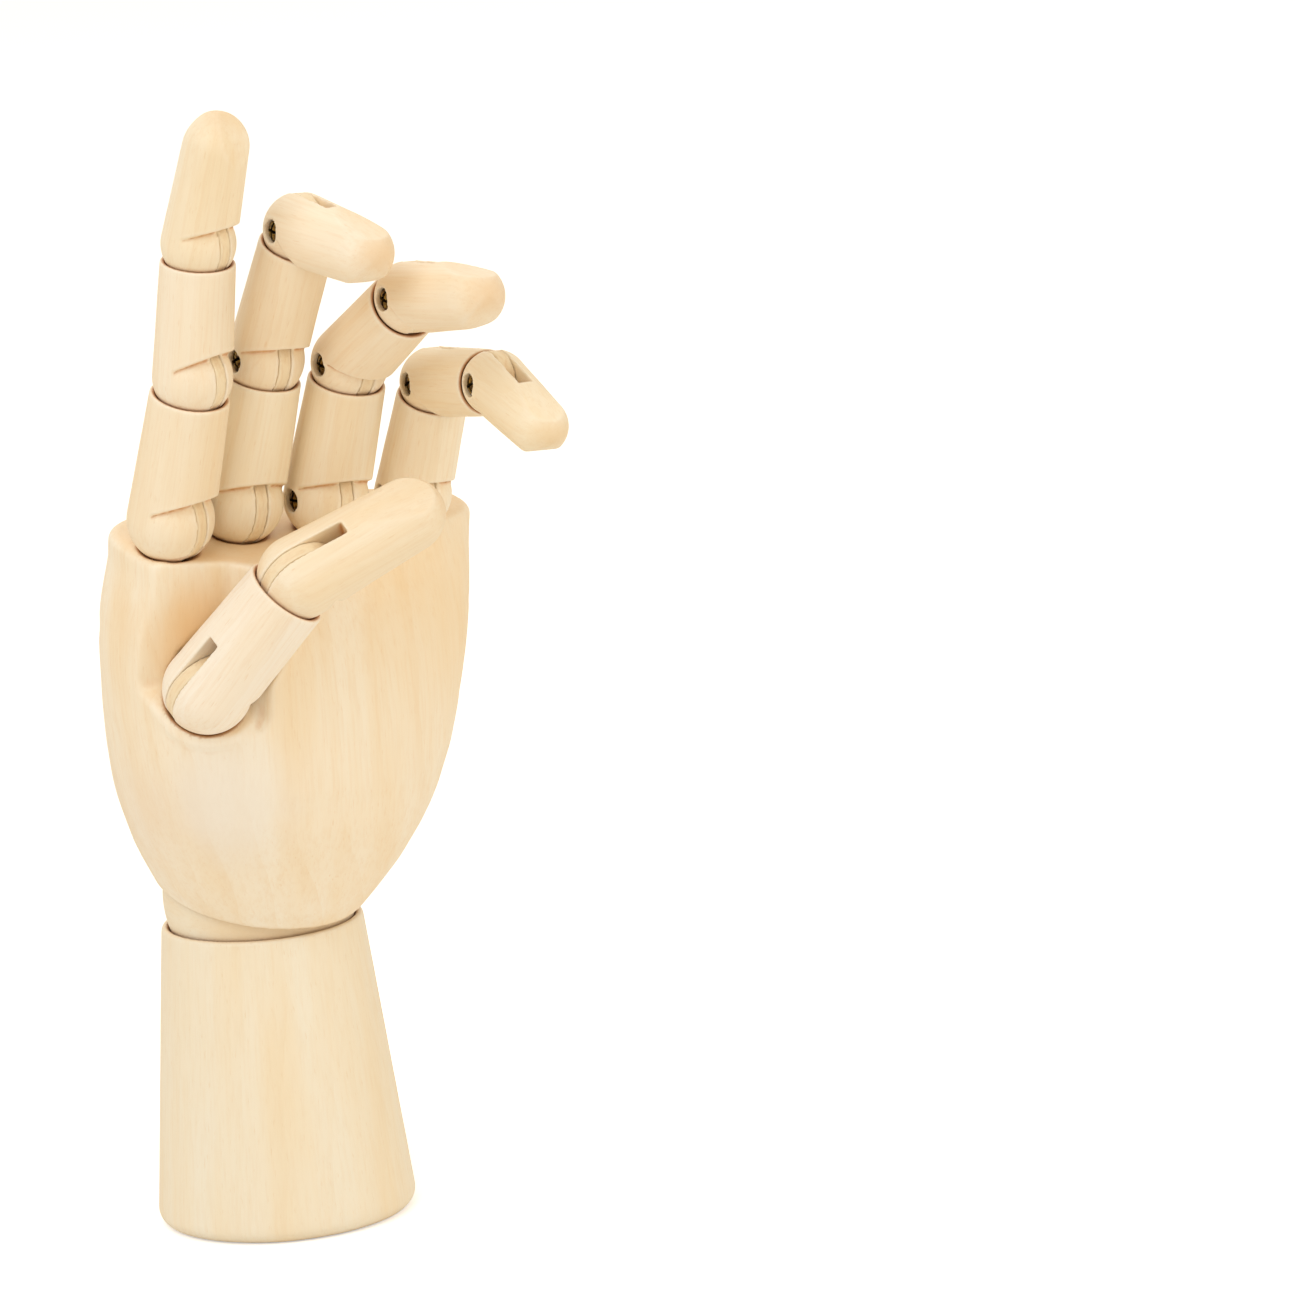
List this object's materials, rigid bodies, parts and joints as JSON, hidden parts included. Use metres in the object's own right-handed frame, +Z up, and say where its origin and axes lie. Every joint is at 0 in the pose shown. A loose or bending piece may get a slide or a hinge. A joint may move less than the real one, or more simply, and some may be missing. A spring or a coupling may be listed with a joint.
{
  "type": "wooden hand mannequin",
  "caption": "Jointed wooden artist's hand on a turned forearm base, with pinned finger joints, a thumb that swivels and a sprung ball wrist.",
  "frame": {"origin": "centre of the ring face that the forearm base stands on", "axes": "+Z up along the forearm, -Y the side that the palm faces, -X the thumb side"},
  "size_m": [0.0622, 0.084, 0.1772],
  "materials": {
    "turned_beech": "sanded, unfinished, fine straight grain",
    "palm_wood": "sanded, unfinished, soft streaks",
    "finger_wood": "sanded, unfinished",
    "tongue_wood": "sawn, unfinished",
    "pin_metal": "dull, darkened",
    "spring_steel": "drawn wire"
  },
  "bodies": {
    "base": {"forearm_base": "turned_beech", "base_anchor_pin": "spring_steel", "wrist_spring": "spring_steel"},
    "hook": {"wrist_hook": "spring_steel"},
    "ball": {"wrist_ball": "turned_beech"},
    "palm": {"palm": "palm_wood", "palm_screw_eye": "spring_steel", "middle_knuckle_tongue": "tongue_wood", "ring_knuckle_tongue": "tongue_wood", "little_knuckle_tongue": "tongue_wood"},
    "index_swivel": {"index_knuckle_tongue": "tongue_wood"},
    "index_proximal": {"index_proximal": "finger_wood", "index_knuckle_pin": "pin_metal", "index_middle_tongue": "tongue_wood"},
    "index_middle": {"index_middle": "finger_wood", "index_middle_pin": "pin_metal", "index_end_tongue": "tongue_wood"},
    "index_distal": {"index_distal": "finger_wood", "index_end_pin": "pin_metal"},
    "middle_proximal": {"middle_proximal": "finger_wood", "middle_knuckle_pin": "pin_metal", "middle_middle_tongue": "tongue_wood"},
    "middle_middle": {"middle_middle": "finger_wood", "middle_middle_pin": "pin_metal", "middle_end_tongue": "tongue_wood"},
    "middle_distal": {"middle_distal": "finger_wood", "middle_end_pin": "pin_metal"},
    "ring_proximal": {"ring_proximal": "finger_wood", "ring_knuckle_pin": "pin_metal", "ring_middle_tongue": "tongue_wood"},
    "ring_middle": {"ring_middle": "finger_wood", "ring_middle_pin": "pin_metal", "ring_end_tongue": "tongue_wood"},
    "ring_distal": {"ring_distal": "finger_wood", "ring_end_pin": "pin_metal"},
    "little_proximal": {"little_proximal": "finger_wood", "little_knuckle_pin": "pin_metal", "little_middle_tongue": "tongue_wood"},
    "little_middle": {"little_middle": "finger_wood", "little_middle_pin": "pin_metal", "little_end_tongue": "tongue_wood"},
    "little_distal": {"little_distal": "finger_wood", "little_end_pin": "pin_metal"},
    "thumb_swivel": {"thumb_knuckle_tongue": "tongue_wood"},
    "thumb_proximal": {"thumb_proximal": "finger_wood", "thumb_knuckle_pin": "pin_metal", "thumb_end_tongue": "tongue_wood"},
    "thumb_distal": {"thumb_distal": "finger_wood", "thumb_end_pin": "pin_metal"}
  },
  "joints": [
    {"name": "wrist_turn", "type": "hinge", "parent": "base", "child": "hook", "pos_m": [0, 0, 0.0509], "axis": [0, 0, 1], "range_deg": [-45, 45]},
    {"name": "wrist_side_lean", "type": "hinge", "parent": "hook", "child": "ball", "pos_m": [0, 0, 0.0509], "axis": [0, 1, 0], "range_deg": [-13, 3]},
    {"name": "wrist_bend", "type": "hinge", "parent": "ball", "child": "palm", "pos_m": [0, 0, 0.0509], "axis": [0.9979, 0, -0.0654], "range_deg": [-27, 2]},
    {"name": "index_swivel", "type": "hinge", "parent": "palm", "child": "index_swivel", "pos_m": [-0.01915, -0.01963, 0.11492], "axis": [-0.0478, 0.2419, -0.9691], "range_deg": [-15, 25]},
    {"name": "index_knuckle_bend", "type": "hinge", "parent": "index_swivel", "child": "index_proximal", "pos_m": [-0.01915, -0.01963, 0.11492], "axis": [0.941, 0.3362, 0.0375], "range_deg": [-25, 50]},
    {"name": "index_middle_bend", "type": "hinge", "parent": "index_proximal", "child": "index_middle", "pos_m": [-0.01729, -0.02731, 0.13694], "axis": [0.941, 0.3362, 0.0375], "range_deg": [-12, 75]},
    {"name": "index_end_bend", "type": "hinge", "parent": "index_middle", "child": "index_distal", "pos_m": [-0.01655, -0.03164, 0.15727], "axis": [0.941, 0.3362, 0.0375], "range_deg": [-25, 60]},
    {"name": "middle_knuckle_bend", "type": "hinge", "parent": "palm", "child": "middle_proximal", "pos_m": [-0.00563, -0.01632, 0.11478], "axis": [0.9924, 0.0638, -0.1049], "range_deg": [-23, 50]},
    {"name": "middle_middle_bend", "type": "hinge", "parent": "middle_proximal", "child": "middle_middle", "pos_m": [-0.00286, -0.02312, 0.13689], "axis": [0.9924, 0.0638, -0.1049], "range_deg": [-24, 60]},
    {"name": "middle_end_bend", "type": "hinge", "parent": "middle_middle", "child": "middle_distal", "pos_m": [-0.00012, -0.03271, 0.15695], "axis": [0.9924, 0.0638, -0.1049], "range_deg": [-86, 0]},
    {"name": "ring_knuckle_bend", "type": "hinge", "parent": "palm", "child": "ring_proximal", "pos_m": [0.00791, -0.01806, 0.11346], "axis": [0.9947, 0.0541, -0.0877], "range_deg": [-24, 38]},
    {"name": "ring_middle_bend", "type": "hinge", "parent": "ring_proximal", "child": "ring_middle", "pos_m": [0.01016, -0.0252, 0.13457], "axis": [0.9947, 0.0541, -0.0877], "range_deg": [-54, 32]},
    {"name": "ring_end_bend", "type": "hinge", "parent": "ring_middle", "child": "ring_distal", "pos_m": [0.0121, -0.04248, 0.14598], "axis": [0.9947, 0.0541, -0.0877], "range_deg": [-43, 44]},
    {"name": "little_knuckle_bend", "type": "hinge", "parent": "palm", "child": "little_proximal", "pos_m": [0.02233, -0.01883, 0.11185], "axis": [0.997, -0.0288, -0.0725], "range_deg": [-30, 60]},
    {"name": "little_middle_bend", "type": "hinge", "parent": "little_proximal", "child": "little_middle", "pos_m": [0.0234, -0.02689, 0.12968], "axis": [0.997, -0.0288, -0.0725], "range_deg": [-75, 12]},
    {"name": "little_end_bend", "type": "hinge", "parent": "little_middle", "child": "little_distal", "pos_m": [0.02299, -0.04617, 0.13178], "axis": [0.997, -0.0288, -0.0725], "range_deg": [-26, 44]},
    {"name": "thumb_swivel", "type": "hinge", "parent": "palm", "child": "thumb_swivel", "pos_m": [-0.01812, -0.02455, 0.08944], "axis": [-0.0524, 0.5976, -0.8001], "range_deg": [-4, 6]},
    {"name": "thumb_knuckle_bend", "type": "hinge", "parent": "thumb_swivel", "child": "thumb_proximal", "pos_m": [-0.01812, -0.02455, 0.08944], "axis": [0.0706, -0.7969, -0.5999], "range_deg": [-1, 49]},
    {"name": "thumb_end_bend", "type": "hinge", "parent": "thumb_proximal", "child": "thumb_distal", "pos_m": [-0.00718, -0.03622, 0.10624], "axis": [0.0706, -0.7969, -0.5999], "range_deg": [-33, 55]}
  ]
}
